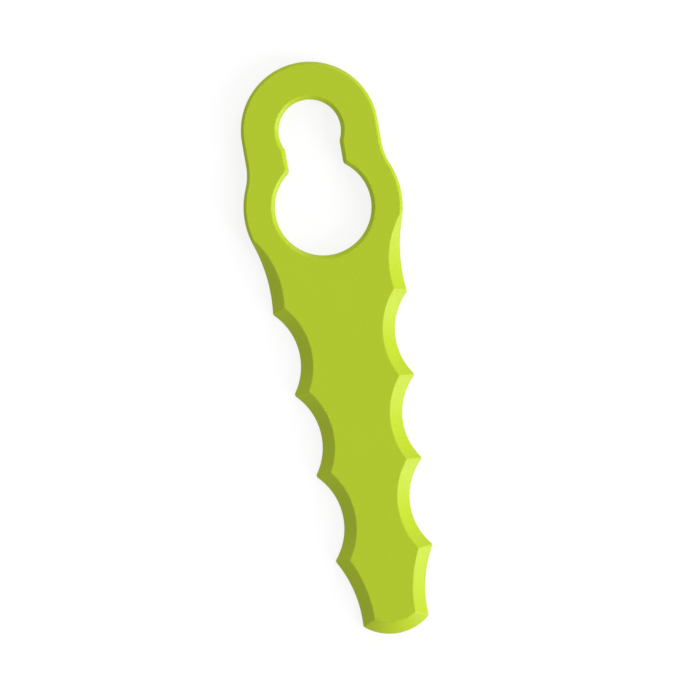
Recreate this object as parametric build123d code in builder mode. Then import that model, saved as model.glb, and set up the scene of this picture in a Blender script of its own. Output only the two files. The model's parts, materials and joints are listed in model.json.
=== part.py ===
from build123d import *

import os
from math import sqrt, tan, radians

# Plastic mower blade: one moulded piece, lying flat with its underside on Z = 0.
# The origin is the centre of the pivot seat, and +X runs along the blade to its tip.
# All lengths are in millimetres.

# Moulding
thickness = 2.3
edge_land = 0.45
tooth_round = 0.5

# Keyhole: the post's head enters at the large hole, and its neck pivots in the small seat
pivot_radius = 4.75
entry_radius = 7.35
entry_offset = 11.8
neck_width = 8.4
seat_corner_round = 2.0
entry_corner_round = 0.8
keyhole_chamfer = 0.55

# Head around the keyhole
head_wall = 5.7
shoulder_wall = 4.75
waist_fillet = 8.7
head_chamfer = 0.4

# Flank: the hollow between the shoulder and the first tooth
flank_radius = 24.5
flank_half_width = 10.15
flank_bevel_radius = 14.0

# Scallops along both cutting edges
scallop_count = 3
scallop_radius = 9.5
scallop_pitch = 12.7
scallop_start = 33.5
scallop_half_width = 7.4
taper_angle = 5.0

# Tip
tip_reach = 77.55
tip_radius = 7.75
tip_flare_radius = 18.2
tip_flare_half_width = 5.0
tip_flare_inset = 3.15

# Cutting bevel on the upper side
bevel_width = 1.85
cutter_margin = 0.3

# Worked-out sizes
head_radius = pivot_radius + head_wall
shoulder_radius = entry_radius + shoulder_wall
bevel_run = bevel_width / (thickness - edge_land)
taper_drop = tan(radians(taper_angle))

waist_corner_x = entry_offset - sqrt(shoulder_radius**2 - head_radius**2)
seat_corner_x = sqrt(pivot_radius**2 - (neck_width / 2) ** 2)
entry_corner_x = entry_offset - sqrt(entry_radius**2 - (neck_width / 2) ** 2)

# The flank's arc is tangent to the shoulder, which fixes its centre along the blade
flank_y = flank_half_width + flank_radius
flank_x = entry_offset + sqrt((shoulder_radius + flank_radius) ** 2 - flank_y**2)
blend_x = entry_offset + (flank_x - entry_offset) * shoulder_radius / (shoulder_radius + flank_radius)
flank_bevel_y = flank_half_width - bevel_width + flank_bevel_radius

tip_x = tip_reach - tip_radius
tip_flare_x = tip_reach - tip_flare_inset
tip_flare_y = tip_flare_half_width + tip_flare_radius


def scallop_y(x):
    """Distance of the scallops' centres from the blade's axis, at x."""
    return scallop_half_width + scallop_radius - (x - scallop_start) * taper_drop


def both_sides(points):
    """The points, and their mirror images across the blade's axis."""
    return [(x, side * y) for x, y in points for side in (1, -1)]


scallop_xs = [scallop_start + i * scallop_pitch for i in range(scallop_count)]
scallop_centres = both_sides([(x, scallop_y(x)) for x in scallop_xs])
flank_centres = both_sides([(flank_x, flank_y)])
flank_bevel_centres = both_sides([(flank_x, flank_bevel_y)])
tip_flare_centres = both_sides([(tip_flare_x, tip_flare_y)])

# Plan outline: head, shoulder, tapered body and rounded tip, with the hollows taken out of both edges
with BuildSketch() as outline:
    Circle(head_radius)
    with Locations((entry_offset / 2, 0)):
        Rectangle(entry_offset, 2 * head_radius)
    with Locations((entry_offset, 0)):
        Circle(shoulder_radius)
    waist_corners = [
        outline.vertices().sort_by_distance(corner)[0]
        for corner in both_sides([(waist_corner_x, head_radius)])
    ]
    fillet(waist_corners, waist_fillet)
    Polygon(
        (blend_x, scallop_y(blend_x)),
        (blend_x, -scallop_y(blend_x)),
        (tip_x, -scallop_y(tip_x)),
        (tip_x, scallop_y(tip_x)),
        align=None,
    )
    with Locations((tip_x, 0)):
        Circle(tip_radius)
    with Locations(*flank_centres):
        Circle(flank_radius, mode=Mode.SUBTRACT)
    with Locations(*scallop_centres):
        Circle(scallop_radius, mode=Mode.SUBTRACT)
    with Locations(*tip_flare_centres):
        Circle(tip_flare_radius, mode=Mode.SUBTRACT)
    teeth = [
        corner
        for corner in outline.vertices()
        if corner.X > flank_x and abs(corner.Y) > tip_flare_half_width / 2
    ]
    fillet(teeth, tooth_round)

# Keyhole outline
with BuildSketch() as keyhole:
    Circle(pivot_radius)
    with Locations((entry_offset / 2, 0)):
        Rectangle(entry_offset, neck_width)
    with Locations((entry_offset, 0)):
        Circle(entry_radius)
    seat_corners = [
        keyhole.vertices().sort_by_distance(corner)[0]
        for corner in both_sides([(seat_corner_x, neck_width / 2)])
    ]
    fillet(seat_corners, seat_corner_round)
    entry_corners = [
        keyhole.vertices().sort_by_distance(corner)[0]
        for corner in both_sides([(entry_corner_x, neck_width / 2)])
    ]
    fillet(entry_corners, entry_corner_round)

# Section of the cutter for the tip's bevel, from the tip arc's axis outwards
tip_section_plane = Plane(origin=(tip_x, 0, 0), x_dir=(0, -1, 0), z_dir=(-1, 0, 0))
with BuildSketch(tip_section_plane) as tip_section:
    Polygon(
        (tip_radius + cutter_margin * bevel_run, edge_land - cutter_margin),
        (2 * tip_radius, edge_land - cutter_margin),
        (2 * tip_radius, thickness + cutter_margin),
        (tip_radius - bevel_width - cutter_margin * bevel_run, thickness + cutter_margin),
        align=None,
    )

with BuildPart() as blade:
    extrude(outline.sketch, amount=thickness)
    extrude(keyhole.sketch, amount=thickness, mode=Mode.SUBTRACT)

    # Chamfers on the upper side, round the keyhole and along the outline
    upper_face = blade.faces().sort_by(Axis.Z)[-1]
    chamfer(upper_face.inner_wires()[0].edges(), keyhole_chamfer)
    upper_face = blade.faces().sort_by(Axis.Z)[-1]
    chamfer(upper_face.outer_wire().edges(), head_chamfer)

    # Conical bevels in the hollows: each starts on the wall at the land and opens upwards
    bevel_height = thickness - edge_land + 2 * cutter_margin
    for centres, land_radius in (
        (scallop_centres, scallop_radius),
        (flank_bevel_centres, flank_bevel_radius - bevel_width),
        (tip_flare_centres, tip_flare_radius),
    ):
        low_radius = land_radius - cutter_margin * bevel_run
        with Locations(*[(x, y, edge_land - cutter_margin) for x, y in centres]):
            Cone(
                low_radius,
                low_radius + bevel_height * bevel_run,
                bevel_height,
                align=(Align.CENTER, Align.CENTER, Align.MIN),
                mode=Mode.SUBTRACT,
            )

    # Bevel round the tip
    revolve(
        tip_section.sketch,
        axis=Axis((tip_x, 0, 0), (0, 0, 1)),
        revolution_arc=180,
        mode=Mode.SUBTRACT,
    )

blade.part.label = "blade"
os.makedirs("parts", exist_ok=True)
export_step(blade.part, "parts/blade.step")
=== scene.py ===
"""A moulded plastic mower blade, lying on a pale floor and seen from straight above."""

import cmath
import json
import math
from collections import namedtuple

import bmesh
import bpy
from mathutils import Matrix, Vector


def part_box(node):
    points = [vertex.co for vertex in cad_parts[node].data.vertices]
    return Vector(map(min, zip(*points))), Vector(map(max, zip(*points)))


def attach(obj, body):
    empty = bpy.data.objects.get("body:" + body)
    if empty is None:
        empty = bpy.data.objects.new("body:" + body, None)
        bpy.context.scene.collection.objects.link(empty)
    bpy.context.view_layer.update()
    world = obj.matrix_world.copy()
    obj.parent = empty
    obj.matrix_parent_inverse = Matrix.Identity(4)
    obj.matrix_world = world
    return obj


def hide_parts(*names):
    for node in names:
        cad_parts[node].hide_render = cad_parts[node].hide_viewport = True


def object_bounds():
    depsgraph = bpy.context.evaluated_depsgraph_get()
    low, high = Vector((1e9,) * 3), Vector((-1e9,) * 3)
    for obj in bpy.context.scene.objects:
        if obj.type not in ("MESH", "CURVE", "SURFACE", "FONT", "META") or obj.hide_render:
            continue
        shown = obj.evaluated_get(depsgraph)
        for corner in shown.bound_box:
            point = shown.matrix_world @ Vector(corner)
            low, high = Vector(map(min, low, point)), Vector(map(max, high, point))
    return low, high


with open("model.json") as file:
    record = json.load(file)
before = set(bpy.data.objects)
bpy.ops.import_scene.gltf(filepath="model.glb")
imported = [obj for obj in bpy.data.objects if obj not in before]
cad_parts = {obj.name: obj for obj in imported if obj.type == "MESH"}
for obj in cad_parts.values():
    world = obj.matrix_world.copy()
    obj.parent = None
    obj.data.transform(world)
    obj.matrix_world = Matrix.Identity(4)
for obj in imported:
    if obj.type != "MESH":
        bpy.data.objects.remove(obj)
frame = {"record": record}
cad_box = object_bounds()

MM = 0.001

# Blade sizes in millimetres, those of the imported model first: its box, and its mounts' radii and places
low, high = (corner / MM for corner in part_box("blade"))
mounts = {mount["name"]: mount for mount in frame["record"]["mounts"]}
thickness = high.z - low.z
tip_reach = high.x
head_radius = -low.x
shoulder_radius = high.y
pivot_radius = mounts["pivot_seat"]["dims"]["r_mm"]
entry_radius = mounts["entry_hole"]["dims"]["r_mm"]
entry_offset = mounts["entry_hole"]["pos_m"][0] / MM
keyhole_chamfer = thickness - mounts["entry_hole"]["dims"]["length_mm"]

# Keyhole and head
neck_width = 8.4
seat_corner_round = 2.0
entry_corner_round = 0.8
waist_fillet = 8.7
head_chamfer = 0.4

# Flank, between the shoulder and the first tooth
flank_radius = 24.5
flank_half_width = 10.15
flank_bevel_radius = 14.0

# Scallops and tip
scallop_count = 3
scallop_radius = 9.5
scallop_pitch = 12.7
scallop_start = 33.5
scallop_half_width = 7.4
taper_angle = math.radians(5.0)
tip_radius = 7.75
tip_flare_radius = 18.2
tip_flare_half_width = 5.0
tip_flare_inset = 3.15

# Cutting edge, and how softly its corners came out of the mould. Its nose is blunted over a short run.
bevel_width = 1.85
edge_land = 0.45
tooth_round = 0.5
ridge_softness = 0.11
nose_run = 0.1
nose_drop = 0.05
underside_round = 0.06

# Mesh columns along the outline: their spacing in millimetres, and their least number on one arc
COLUMN_SPACING = 0.35
CORNER_COLUMNS = 6

# Mesh rows from the underside to the flat top: insets under the blade as multiples of its round, then shares
# of the wall's height, of the way from the edge to the ridge, and of the margin that leads on to the flat
UNDERSIDE_ROWS = (5.0, 1.0, 1 / 3)
WALL_ROWS = (0.0, 0.1, 0.9, 1.0)
ROWS_TO_RIDGE = (0.02, 0.05, 0.1, 0.18, 0.3, 0.5, 0.7, 0.85, 0.93, 0.97, 1.0)
ROWS_TO_FLAT = (0.25, 0.5, 1.0)
FLAT_MARGIN = 0.25

# Points of the two halves that lie this close are one
WELD_REACH = 0.002

# A circle as large as this is as good as a straight line, and a point as far away gives a direction
FAR = 10000.0

# Camera: straight above, with a long lens so that the view is close to a parallel one
LENS = 400.0
SENSOR = 36.0
BLADE_LEAN = math.radians(10.0)
FRAME_FILL = 0.86

# Light: an even fill from the world, a soft key low at the picture's right, and a weaker side lamp above it.
# A lamp's angles are in degrees, and its azimuth turns from the picture's right towards its top.
Lamp = namedtuple("Lamp", "level elevation azimuth softness")
FILL_LEVEL = 0.615
LAMPS = {
    "key": Lamp(level=1.05, elevation=15.0, azimuth=-26.0, softness=44.0),
    "side": Lamp(level=0.36, elevation=20.5, azimuth=65.0, softness=30.0),
}

# Floor: its width and its gap under the blade in metres, how much of its white a shadow can take away,
# and its white, which is a little over one so that it stays clean
FLOOR_SIZE = 8.0
FLOOR_GAP = 0.02 * MM
FLOOR_SHADOW_SHARE = 0.22
FLOOR_WHITE = 1.02

# Colour of the floor's glow and of the sky
WHITE = (1.0, 1.0, 1.0, 1.0)

# Lime nylon: linear colours, gloss, and its marks, whose scales count them over a metre
LIME = (0.405, 0.531, 0.011)
LIME_PALE = (0.418, 0.547, 0.014)
SPECULAR_LEVEL = 0.3
SMOOTHEST = 0.39
ROUGHEST = 0.50
FLOW_SCALE = 190.0
FLOW_STRETCH = 0.35
FLOW_DETAIL = 3.0
PATCH_SCALE = 700.0
GRAIN_SCALE = 4200.0
GRAIN_HEIGHT = 0.015 * MM
FINE_DETAIL = 2.0

# Colour sockets of a Mix node, by place, because their names repeat
MIX_FIRST = 6
MIX_SECOND = 7
MIX_RESULT = 2


# Plan geometry, with points as complex numbers in millimetres

# A circle that the outline follows. Its side is 1 where the body lies outside it, and -1 where inside.
Run = namedtuple("Run", "centre radius side")

# One stretch of a rim: the run of its outline, the run of its ridge, and the ridge's depth there
Stretch = namedtuple("Stretch", "edge ridge depth")

# Where two stretches meet: the corner's rounding, and its side of the line between their centres, 1 for left
Corner = namedtuple("Corner", "rounding turn")

# A piece of a circle, the short way round
Arc = namedtuple("Arc", "centre start end")


def radius_at(run, inset):
    """A run's radius, moved into the body by an inset."""
    return run.radius + run.side * inset


def meet(a, inset_a, b, inset_b, turn):
    """Where two runs cross or touch, each moved in by its inset."""
    radius_a = radius_at(a, inset_a)
    radius_b = radius_at(b, inset_b)
    gap = b.centre - a.centre
    along = (radius_a**2 - radius_b**2 + abs(gap) ** 2) / (2 * abs(gap))
    across = math.sqrt(max(radius_a**2 - along**2, 0.0))
    return a.centre + gap / abs(gap) * complex(along, turn * across)


def onto(point, run, inset):
    """The nearest place to a point on a run, moved in by its inset."""
    arm = point - run.centre
    return run.centre + arm / abs(arm) * radius_at(run, inset)


def sweep(arc):
    """The angle that an arc turns through."""
    return cmath.phase((arc.end - arc.centre) / (arc.start - arc.centre))


def arcs_of(runs, insets, corners, anchors):
    """A track's arcs, from one end of the blade's axis to the other, each run moved in by its inset."""
    start = onto(-FAR, runs[0], insets[0])
    arcs = []
    for i, corner in enumerate(corners):
        a, inset_a, b, inset_b = runs[i], insets[i], runs[i + 1], insets[i + 1]
        if a is b:
            point = onto(anchors[i], a, inset_a)
        else:
            point = meet(a, inset_a + corner.rounding, b, inset_b + corner.rounding, corner.turn)
        if corner.rounding:
            end = onto(point, a, inset_a)
            arcs.append(Arc(a.centre, start, end))
            start = onto(point, b, inset_b)
            arcs.append(Arc(point, end, start))
        else:
            arcs.append(Arc(a.centre, start, point))
            start = point
    arcs.append(Arc(runs[-1].centre, start, onto(FAR, runs[-1], insets[-1])))
    return arcs


def columns_of(stretches, corners):
    """The points of a rim's outline, of its ridge, and of the flat inside it, in matching rows."""
    edges = [stretch.edge for stretch in stretches]
    ridges = [stretch.ridge for stretch in stretches]
    depths = [stretch.depth for stretch in stretches]
    flats = [depth + FLAT_MARGIN for depth in depths]
    level = [0.0] * len(stretches)

    # Where the outline keeps its run and the ridge changes, the ridge's corner divides the outline too
    anchors = []
    for i, corner in enumerate(corners):
        runs, insets = (ridges, depths) if edges[i] is edges[i + 1] else (edges, level)
        anchors.append(meet(runs[i], insets[i], runs[i + 1], insets[i + 1], corner.turn))
    tracks = [
        arcs_of(runs, insets, corners, anchors)
        for runs, insets in ((edges, level), (ridges, depths), (ridges, flats))
    ]

    # The outline's arc sets how many columns its ridge and its flat have beside it
    columns = [[], [], []]
    for arcs in zip(*tracks):
        outline = arcs[0]
        length = abs(sweep(outline) * (outline.start - outline.centre))
        count = max(CORNER_COLUMNS, math.ceil(length / COLUMN_SPACING))
        for points, arc in zip(columns, arcs):
            step = cmath.exp(1j * sweep(arc) / count)
            points.extend(arc.centre + (arc.start - arc.centre) * step**i for i in range(count))
    for points, arcs in zip(columns, tracks):
        points.append(arcs[-1].end)
    return columns


def outer_rim():
    """The blade's outline on one side of its axis, from the head to the tip, and the runs of its bevels."""
    head = Run(0j, head_radius, -1)
    side = Run(complex(0.0, head_radius - FAR), FAR, -1)
    shoulder = Run(complex(entry_offset, 0.0), shoulder_radius, -1)
    waist = Run(meet(side, -waist_fillet, shoulder, -waist_fillet, 1), waist_fillet, 1)

    flank_y = flank_half_width + flank_radius
    flank_x = entry_offset + math.sqrt((shoulder_radius + flank_radius) ** 2 - flank_y**2)
    flank = Run(complex(flank_x, flank_y), flank_radius, 1)
    bevel_y = flank_half_width - bevel_width + flank_bevel_radius
    flank_bevel = Run(complex(flank_x, bevel_y), flank_bevel_radius - bevel_width, 1)

    scallops = []
    for i in range(scallop_count):
        run = i * scallop_pitch
        scallop_y = scallop_half_width + scallop_radius - run * math.tan(taper_angle)
        scallops.append(Run(complex(scallop_start + run, scallop_y), scallop_radius, 1))
    flare_y = tip_flare_half_width + tip_flare_radius
    flare = Run(complex(tip_reach - tip_flare_inset, flare_y), tip_flare_radius, 1)
    tip = Run(complex(tip_reach - tip_radius, 0.0), tip_radius, -1)

    # As far as the flank the stretches run smoothly on, then they meet in teeth and in the tip's corner
    stretches = [Stretch(run, run, head_chamfer) for run in (head, side, waist, shoulder)]
    stretches += [Stretch(shoulder, flank_bevel, bevel_width), Stretch(flank, flank_bevel, bevel_width)]
    corners = [Corner(0.0, 1)] * (len(stretches) - 1)
    stretches += [Stretch(run, run, bevel_width) for run in (*scallops, flare, tip)]
    corners += [Corner(tooth_round, -1)] * (scallop_count + 1)
    corners += [Corner(tooth_round, 1)]
    bevels = {"Flank": flank_bevel, "Scallop": scallops[0], "Flare": flare, "Tip": tip}
    return columns_of(stretches, corners), bevels


def keyhole_rim():
    """The keyhole's outline on one side of its axis, from the seat's end to the entry hole's."""
    seat = Run(0j, pivot_radius, 1)
    neck = Run(complex(0.0, neck_width / 2 - FAR), FAR, 1)
    entry = Run(complex(entry_offset, 0.0), entry_radius, 1)
    stretches = [Stretch(run, run, keyhole_chamfer) for run in (seat, neck, entry)]
    return columns_of(stretches, [Corner(seat_corner_round, 1), Corner(entry_corner_round, 1)])


class PlanMesh:
    """Half of the blade, drawn flat. Each point keeps its inset, its rise and its rim's chamfer."""

    def __init__(self):
        self.points = []
        self.insets = []
        self.rises = []
        self.chamfers = []
        self.faces = []

    def add_row(self, points, edge, rise):
        """One row of points beside an edge, as a list of their indices."""
        first = len(self.points)
        self.points += points
        self.insets += [abs(point - start) for point, start in zip(points, edge)]
        self.rises += [rise] * len(points)
        return list(range(first, len(self.points)))

    def add_rim(self, columns, chamfer):
        """The rows of a rim, from the underside round the edge to the flat top, joined by faces."""
        edge, ridge, flat = columns
        rows = []
        for share in UNDERSIDE_ROWS:
            inset = underside_round * share
            points = [a + (b - a) / abs(b - a) * inset for a, b in zip(edge, ridge)]
            rows.append(self.add_row(points, edge, 0.0))
        for rise in WALL_ROWS:
            rows.append(self.add_row(edge, edge, rise))
        for share in ROWS_TO_RIDGE:
            points = [a + (b - a) * share for a, b in zip(edge, ridge)]
            rows.append(self.add_row(points, edge, 1.0))
        for share in ROWS_TO_FLAT:
            points = [a + (b - a) * share for a, b in zip(ridge, flat)]
            rows.append(self.add_row(points, edge, 1.0))
        for a, b in zip(rows, rows[1:]):
            self.faces += [(a[i], a[i + 1], b[i + 1], b[i]) for i in range(len(a) - 1)]
        self.chamfers += [chamfer] * len(rows) * len(edge)
        return rows[0], rows[-1]

    def to_object(self, name):
        """The half as a Blender object, in metres, with what its points keep as attributes."""
        mesh = bpy.data.meshes.new(name)
        mesh.from_pydata([(p.real * MM, p.imag * MM, 0.0) for p in self.points], [], self.faces)
        kept = {
            "inset": [inset * MM for inset in self.insets],
            "rise": self.rises,
            "chamfer": [chamfer * MM for chamfer in self.chamfers],
        }
        for attribute, values in kept.items():
            mesh.attributes.new(attribute, "FLOAT", "POINT").data.foreach_set("value", values)
        half = bpy.data.objects.new(name, mesh)
        bpy.context.scene.collection.objects.link(half)
        return half


def draw_half(outline):
    """Half of the blade, with its two rims joined by the flat top and the underside."""
    plan = PlanMesh()
    outer_under, outer_flat = plan.add_rim(outline, head_chamfer)
    hole_under, hole_flat = plan.add_rim(keyhole_rim(), keyhole_chamfer)
    plan.faces.append(outer_flat + hole_flat[::-1])
    plan.faces.append(outer_under + hole_under[::-1])
    return plan.to_object("half_blade")


# Node trees

def add(tree, kind, inputs=None, **settings):
    """A new node, with its settings and with its inputs given a value or linked to a socket."""
    made = tree.nodes.new(kind)
    for name, value in settings.items():
        setattr(made, name, value)
    for key, value in (inputs or {}).items():
        if isinstance(value, bpy.types.NodeSocket):
            tree.links.new(value, made.inputs[key])
        else:
            made.inputs[key].default_value = value
    return made


class Field:
    """A number in a node tree. Arithmetic on it adds Math nodes."""

    def __init__(self, tree, socket):
        self.tree = tree
        self.socket = socket

    def math(self, operation, *others):
        """The result of a Math node, whose first value is this number."""
        values = [other.socket if isinstance(other, Field) else other for other in others]
        made = add(self.tree, "ShaderNodeMath", dict(enumerate([self.socket, *values])), operation=operation)
        return Field(self.tree, made.outputs[0])

    def __add__(self, other):
        return self.math("ADD", other)

    def __sub__(self, other):
        return self.math("SUBTRACT", other)

    def __mul__(self, other):
        return self.math("MULTIPLY", other)

    def __truediv__(self, other):
        return self.math("DIVIDE", other)


def hypotenuse(a, b):
    """The length whose parts are a and b."""
    return (a * a + b * b).math("SQRT")


def quarter_round(inset, radius):
    """How far a quarter-round edge has risen at an inset from the edge."""
    left = radius - inset.math("MINIMUM", radius)
    return (radius * radius - left * left).math("MAXIMUM", 0.0).math("SQRT")


def relief_sizes(bevels):
    """The relief's named inputs: lengths in metres, then the row's taper and its count."""
    lengths = {
        "Thickness": thickness,
        "Edge Land": edge_land,
        "Bevel Width": bevel_width,
        "Underside Round": underside_round,
        "Ridge Softness": ridge_softness,
        "Nose Run": nose_run,
        "Nose Drop": nose_drop,
        "Scallop Pitch": scallop_pitch,
        "Weld": WELD_REACH,
    }
    for name, run in bevels.items():
        lengths[name + " X"] = run.centre.real
        lengths[name + " Y"] = run.centre.imag
        lengths[name + " Radius"] = run.radius
    sizes = {name: value * MM for name, value in lengths.items()}
    sizes["Taper"] = math.tan(taper_angle)
    sizes["Scallop Count"] = scallop_count
    return sizes


def upper_side(tree, size, x, y, inset, chamfer):
    """Height of the upper side, where the bevels are cut into the flat top and its chamfered rims."""
    softness = size["Ridge Softness"]
    slope = (size["Thickness"] - size["Edge Land"]) / size["Bevel Width"]

    def hollow(centre_x, centre_y, radius):
        """Height of the conical bevel round a hollow."""
        distance = hypotenuse(x - centre_x, y - centre_y)
        return (distance - radius) * slope + size["Edge Land"]

    # The rim's chamfer, then the bevels of the flank and of the tip's flare
    upper = size["Thickness"].math("SMOOTH_MIN", size["Thickness"] - chamfer + inset, softness)
    for name in ("Flank", "Flare"):
        bevel = hollow(size[name + " X"], size[name + " Y"], size[name + " Radius"])
        upper = upper.math("SMOOTH_MIN", bevel, softness)

    # One bevel for each scallop of the tapered row
    loop_in = tree.nodes.new("GeometryNodeRepeatInput")
    loop_out = tree.nodes.new("GeometryNodeRepeatOutput")
    loop_in.pair_with_output(loop_out)
    loop_out.repeat_items.clear()
    loop_out.repeat_items.new("FLOAT", "Height")
    tree.links.new(size["Scallop Count"].socket, loop_in.inputs["Iterations"])
    tree.links.new(upper.socket, loop_in.inputs["Height"])
    run = Field(tree, loop_in.outputs["Iteration"]) * size["Scallop Pitch"]
    scallop_y = size["Scallop Y"] - run * size["Taper"]
    bevel = hollow(run + size["Scallop X"], scallop_y, size["Scallop Radius"])
    cut = Field(tree, loop_in.outputs["Height"]).math("SMOOTH_MIN", bevel, softness)
    tree.links.new(cut.socket, loop_out.inputs["Height"])
    upper = Field(tree, loop_out.outputs["Height"])

    # The tip's bevel falls outwards, and is lifted out of the way short of the tip's centre
    beyond = x - size["Tip X"]
    distance = hypotenuse(beyond, y - size["Tip Y"])
    bevel = (size["Tip Radius"] - distance) * slope + size["Edge Land"]
    upper = upper.math("SMOOTH_MIN", bevel + beyond.math("LESS_THAN", 0.0), softness)

    # The blunted cutting edge
    nose = (inset / size["Nose Run"]).math("MINIMUM", 1.0) - 1.0
    return upper - nose * nose * size["Nose Drop"]


def both_halves(tree, half, weld):
    """A half of the blade and its mirror image across the axis, as one mesh."""
    index = Field(tree, add(tree, "GeometryNodeInputIndex").outputs[0])
    mirror = add(tree, "ShaderNodeCombineXYZ", {"X": 1.0, "Y": (index * -2.0 + 1.0).socket, "Z": 1.0})
    points = add(tree, "GeometryNodePoints", {"Count": 2})
    halves = add(
        tree,
        "GeometryNodeInstanceOnPoints",
        {"Points": points.outputs[0], "Instance": half, "Scale": mirror.outputs[0]},
    )
    real = add(tree, "GeometryNodeRealizeInstances", {"Geometry": halves.outputs["Instances"]})
    whole = add(
        tree,
        "GeometryNodeMergeByDistance",
        {"Geometry": real.outputs["Geometry"], "Distance": weld.socket},
    )
    return whole.outputs["Geometry"]


def relief_tree(sizes, material):
    """Geometry nodes that raise the flat half, cut its bevels and mirror it into a whole blade."""
    tree = bpy.data.node_groups.new("blade_relief", "GeometryNodeTree")
    tree.interface.new_socket("Plan", in_out="INPUT", socket_type="NodeSocketGeometry")
    for name, value in sizes.items():
        kind = "NodeSocketInt" if isinstance(value, int) else "NodeSocketFloat"
        tree.interface.new_socket(name, in_out="INPUT", socket_type=kind)
    tree.interface.new_socket("Blade", in_out="OUTPUT", socket_type="NodeSocketGeometry")
    entry = tree.nodes.new("NodeGroupInput")
    size = {name: Field(tree, entry.outputs[name]) for name in sizes}

    position = add(tree, "GeometryNodeInputPosition").outputs[0]
    axes = add(tree, "ShaderNodeSeparateXYZ", {0: position})
    x, y = Field(tree, axes.outputs["X"]), Field(tree, axes.outputs["Y"])
    inset, rise, chamfer = [
        Field(tree, add(tree, "GeometryNodeInputNamedAttribute", {"Name": name}).outputs["Attribute"])
        for name in ("inset", "rise", "chamfer")
    ]

    # The upper side, the underside with its rounded edge, and the walls between them
    upper = upper_side(tree, size, x, y, inset, chamfer)
    under = size["Underside Round"] - quarter_round(inset, size["Underside Round"])
    height = under + (upper - under) * rise
    place = add(tree, "ShaderNodeCombineXYZ", {"X": x.socket, "Y": y.socket, "Z": height.socket})
    raised = add(
        tree,
        "GeometryNodeSetPosition",
        {"Geometry": entry.outputs["Plan"], "Position": place.outputs[0]},
    )

    whole = both_halves(tree, raised.outputs["Geometry"], size["Weld"])
    soft = add(tree, "GeometryNodeSetShadeSmooth", {"Geometry": whole})
    dressed = add(
        tree,
        "GeometryNodeSetMaterial",
        {"Geometry": soft.outputs["Geometry"], "Material": material},
    )
    leave = tree.nodes.new("NodeGroupOutput")
    tree.links.new(dressed.outputs["Geometry"], leave.inputs["Blade"])
    return tree


def make_blade(material):
    """The blade as one moulded mesh, which stands for its CAD solid."""
    outline, bevels = outer_rim()
    half = draw_half(outline)
    half.data.materials.append(material)

    sizes = relief_sizes(bevels)
    modifier = half.modifiers.new("relief", "NODES")
    modifier.node_group = relief_tree(sizes, material)
    for socket in modifier.node_group.interface.items_tree:
        if socket.name in sizes:
            modifier[socket.identifier] = sizes[socket.name]
    graph = bpy.context.evaluated_depsgraph_get()
    mesh = bpy.data.meshes.new_from_object(half.evaluated_get(graph))
    bpy.data.objects.remove(half)

    # A mirrored half can come out inside out, so every face is turned outwards
    shell = bmesh.new()
    shell.from_mesh(mesh)
    bmesh.ops.recalc_face_normals(shell, faces=shell.faces)
    shell.to_mesh(mesh)
    shell.free()

    mesh.name = "moulded_blade"
    blade = bpy.data.objects.new("moulded_blade", mesh)
    bpy.context.scene.collection.objects.link(blade)
    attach(blade, "root")
    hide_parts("blade")


# Materials

def new_material(name):
    """An empty node material and its output node."""
    material = bpy.data.materials.new(name)
    material.use_nodes = True
    material.node_tree.nodes.clear()
    return material, material.node_tree.nodes.new("ShaderNodeOutputMaterial")


def lime_nylon():
    """Satin moulded nylon, with a fine grain from the mould and faint flow marks along the blade."""
    material, output = new_material("lime_nylon")
    tree = material.node_tree
    place = add(tree, "ShaderNodeTexCoord").outputs["Object"]
    along = add(tree, "ShaderNodeMapping", {"Vector": place, "Scale": (FLOW_STRETCH, 1.0, 1.0)})
    flow = add(
        tree,
        "ShaderNodeTexNoise",
        {"Vector": along.outputs["Vector"], "Scale": FLOW_SCALE, "Detail": FLOW_DETAIL},
    )
    colour = add(
        tree,
        "ShaderNodeMix",
        {"Factor": flow.outputs["Fac"], MIX_FIRST: (*LIME, 1.0), MIX_SECOND: (*LIME_PALE, 1.0)},
        data_type="RGBA",
    )
    patches = add(
        tree,
        "ShaderNodeTexNoise",
        {"Vector": place, "Scale": PATCH_SCALE, "Detail": FINE_DETAIL},
    )
    roughness = add(
        tree,
        "ShaderNodeMapRange",
        {"Value": patches.outputs["Fac"], "To Min": SMOOTHEST, "To Max": ROUGHEST},
    )
    grain = add(tree, "ShaderNodeTexNoise", {"Vector": place, "Scale": GRAIN_SCALE, "Detail": FINE_DETAIL})
    bump = add(tree, "ShaderNodeBump", {"Height": grain.outputs["Fac"], "Distance": GRAIN_HEIGHT})
    shader = add(
        tree,
        "ShaderNodeBsdfPrincipled",
        {
            "Base Color": colour.outputs[MIX_RESULT],
            "Roughness": roughness.outputs["Result"],
            "Specular IOR Level": SPECULAR_LEVEL,
            "Normal": bump.outputs["Normal"],
        },
    )
    tree.links.new(shader.outputs["BSDF"], output.inputs["Surface"])
    return material


def background_rays(tree):
    """One for the rays that show the background: camera, glossy and transmission rays."""
    path = add(tree, "ShaderNodeLightPath")
    seen = Field(tree, path.outputs["Is Camera Ray"])
    for name in ("Is Glossy Ray", "Is Transmission Ray"):
        seen = seen.math("MAXIMUM", path.outputs[name])
    return seen


def white_floor():
    """White to the camera, with a part of its light left to the lamps so that it keeps the shadow."""
    material, output = new_material("white_floor")
    tree = material.node_tree
    glow = background_rays(tree) * (FLOOR_WHITE - FLOOR_SHADOW_SHARE)
    grey = (FLOOR_SHADOW_SHARE,) * 3
    shader = add(
        tree,
        "ShaderNodeBsdfPrincipled",
        {
            "Base Color": (*grey, 1.0),
            "Roughness": 1.0,
            "Specular IOR Level": 0.0,
            "Emission Color": WHITE,
            "Emission Strength": glow.socket,
        },
    )
    tree.links.new(shader.outputs["BSDF"], output.inputs["Surface"])
    return material


# Stage, light and camera

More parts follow.
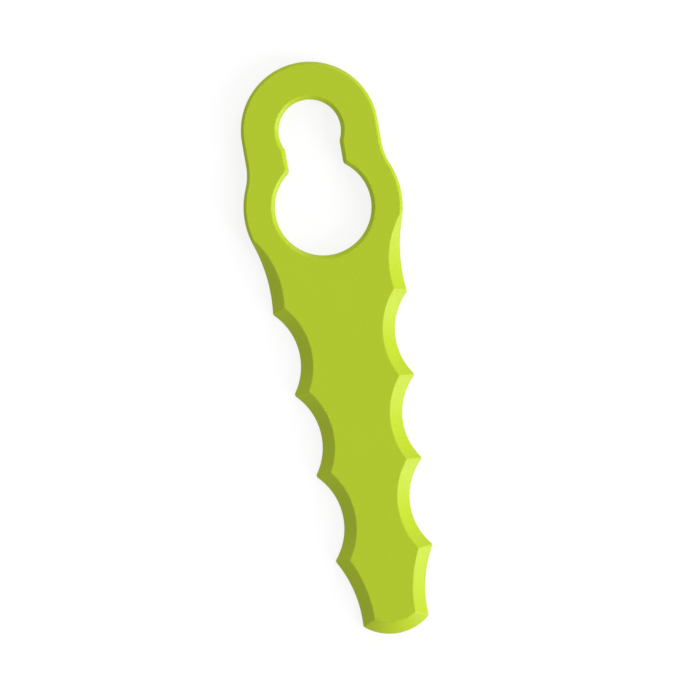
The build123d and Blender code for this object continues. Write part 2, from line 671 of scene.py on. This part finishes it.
def make_floor():
    """A flat floor, a hair below the blade's underside."""
    half = FLOOR_SIZE / 2
    height = cad_box[0].z - FLOOR_GAP
    corners = [(x, y, height) for x, y in ((-half, -half), (half, -half), (half, half), (-half, half))]
    mesh = bpy.data.meshes.new("floor")
    mesh.from_pydata(corners, [], [(0, 1, 2, 3)])
    mesh.materials.append(white_floor())
    floor = bpy.data.objects.new("floor", mesh)
    bpy.context.scene.collection.objects.link(floor)


def make_world():
    """An even fill, and a white background."""
    world = bpy.data.worlds.new("studio")
    bpy.context.scene.world = world
    world.use_nodes = True
    tree = world.node_tree
    tree.nodes.clear()
    level = add(
        tree,
        "ShaderNodeMapRange",
        {"Value": background_rays(tree).socket, "To Min": FILL_LEVEL, "To Max": 1.0},
    )
    sky = add(tree, "ShaderNodeBackground", {"Color": WHITE, "Strength": level.outputs["Result"]})
    output = add(tree, "ShaderNodeOutputWorld")
    tree.links.new(sky.outputs["Background"], output.inputs["Surface"])


def make_camera():
    """A camera straight above, with the blade's head up and leaning as it does in the photograph."""
    lowest, highest = cad_box
    turn = math.pi / 2 - BLADE_LEAN
    right = Vector((math.cos(turn), math.sin(turn), 0.0))
    up = Vector((-math.sin(turn), math.cos(turn), 0.0))
    middle = (lowest + highest) / 2
    span = highest - lowest
    tall = span.x * abs(up.x) + span.y * abs(up.y)
    distance = tall / FRAME_FILL * LENS / SENSOR
    lens = bpy.data.cameras.new("camera")
    lens.lens = LENS
    lens.sensor_width = SENSOR
    camera = bpy.data.objects.new("camera", lens)
    camera.location = (middle.x, middle.y, highest.z + distance)
    camera.rotation_euler = (0.0, 0.0, turn)
    bpy.context.scene.collection.objects.link(camera)
    bpy.context.scene.camera = camera
    return right, up


def make_lamps(right, up):
    """The soft lamps, placed by the picture's own directions."""
    for name, setting in LAMPS.items():
        azimuth = math.radians(setting.azimuth)
        elevation = math.radians(setting.elevation)
        across = right * math.cos(azimuth) + up * math.sin(azimuth)
        towards = across * math.cos(elevation) + Vector((0.0, 0.0, math.sin(elevation)))
        light = bpy.data.lights.new(name, "SUN")
        light.energy = setting.level * math.pi
        light.angle = math.radians(setting.softness)
        lamp = bpy.data.objects.new(name, light)
        lamp.rotation_euler = towards.to_track_quat("Z", "Y").to_euler()
        bpy.context.scene.collection.objects.link(lamp)


bpy.context.scene.view_settings.view_transform = "Standard"
make_blade(lime_nylon())
make_floor()
make_world()
make_lamps(*make_camera())
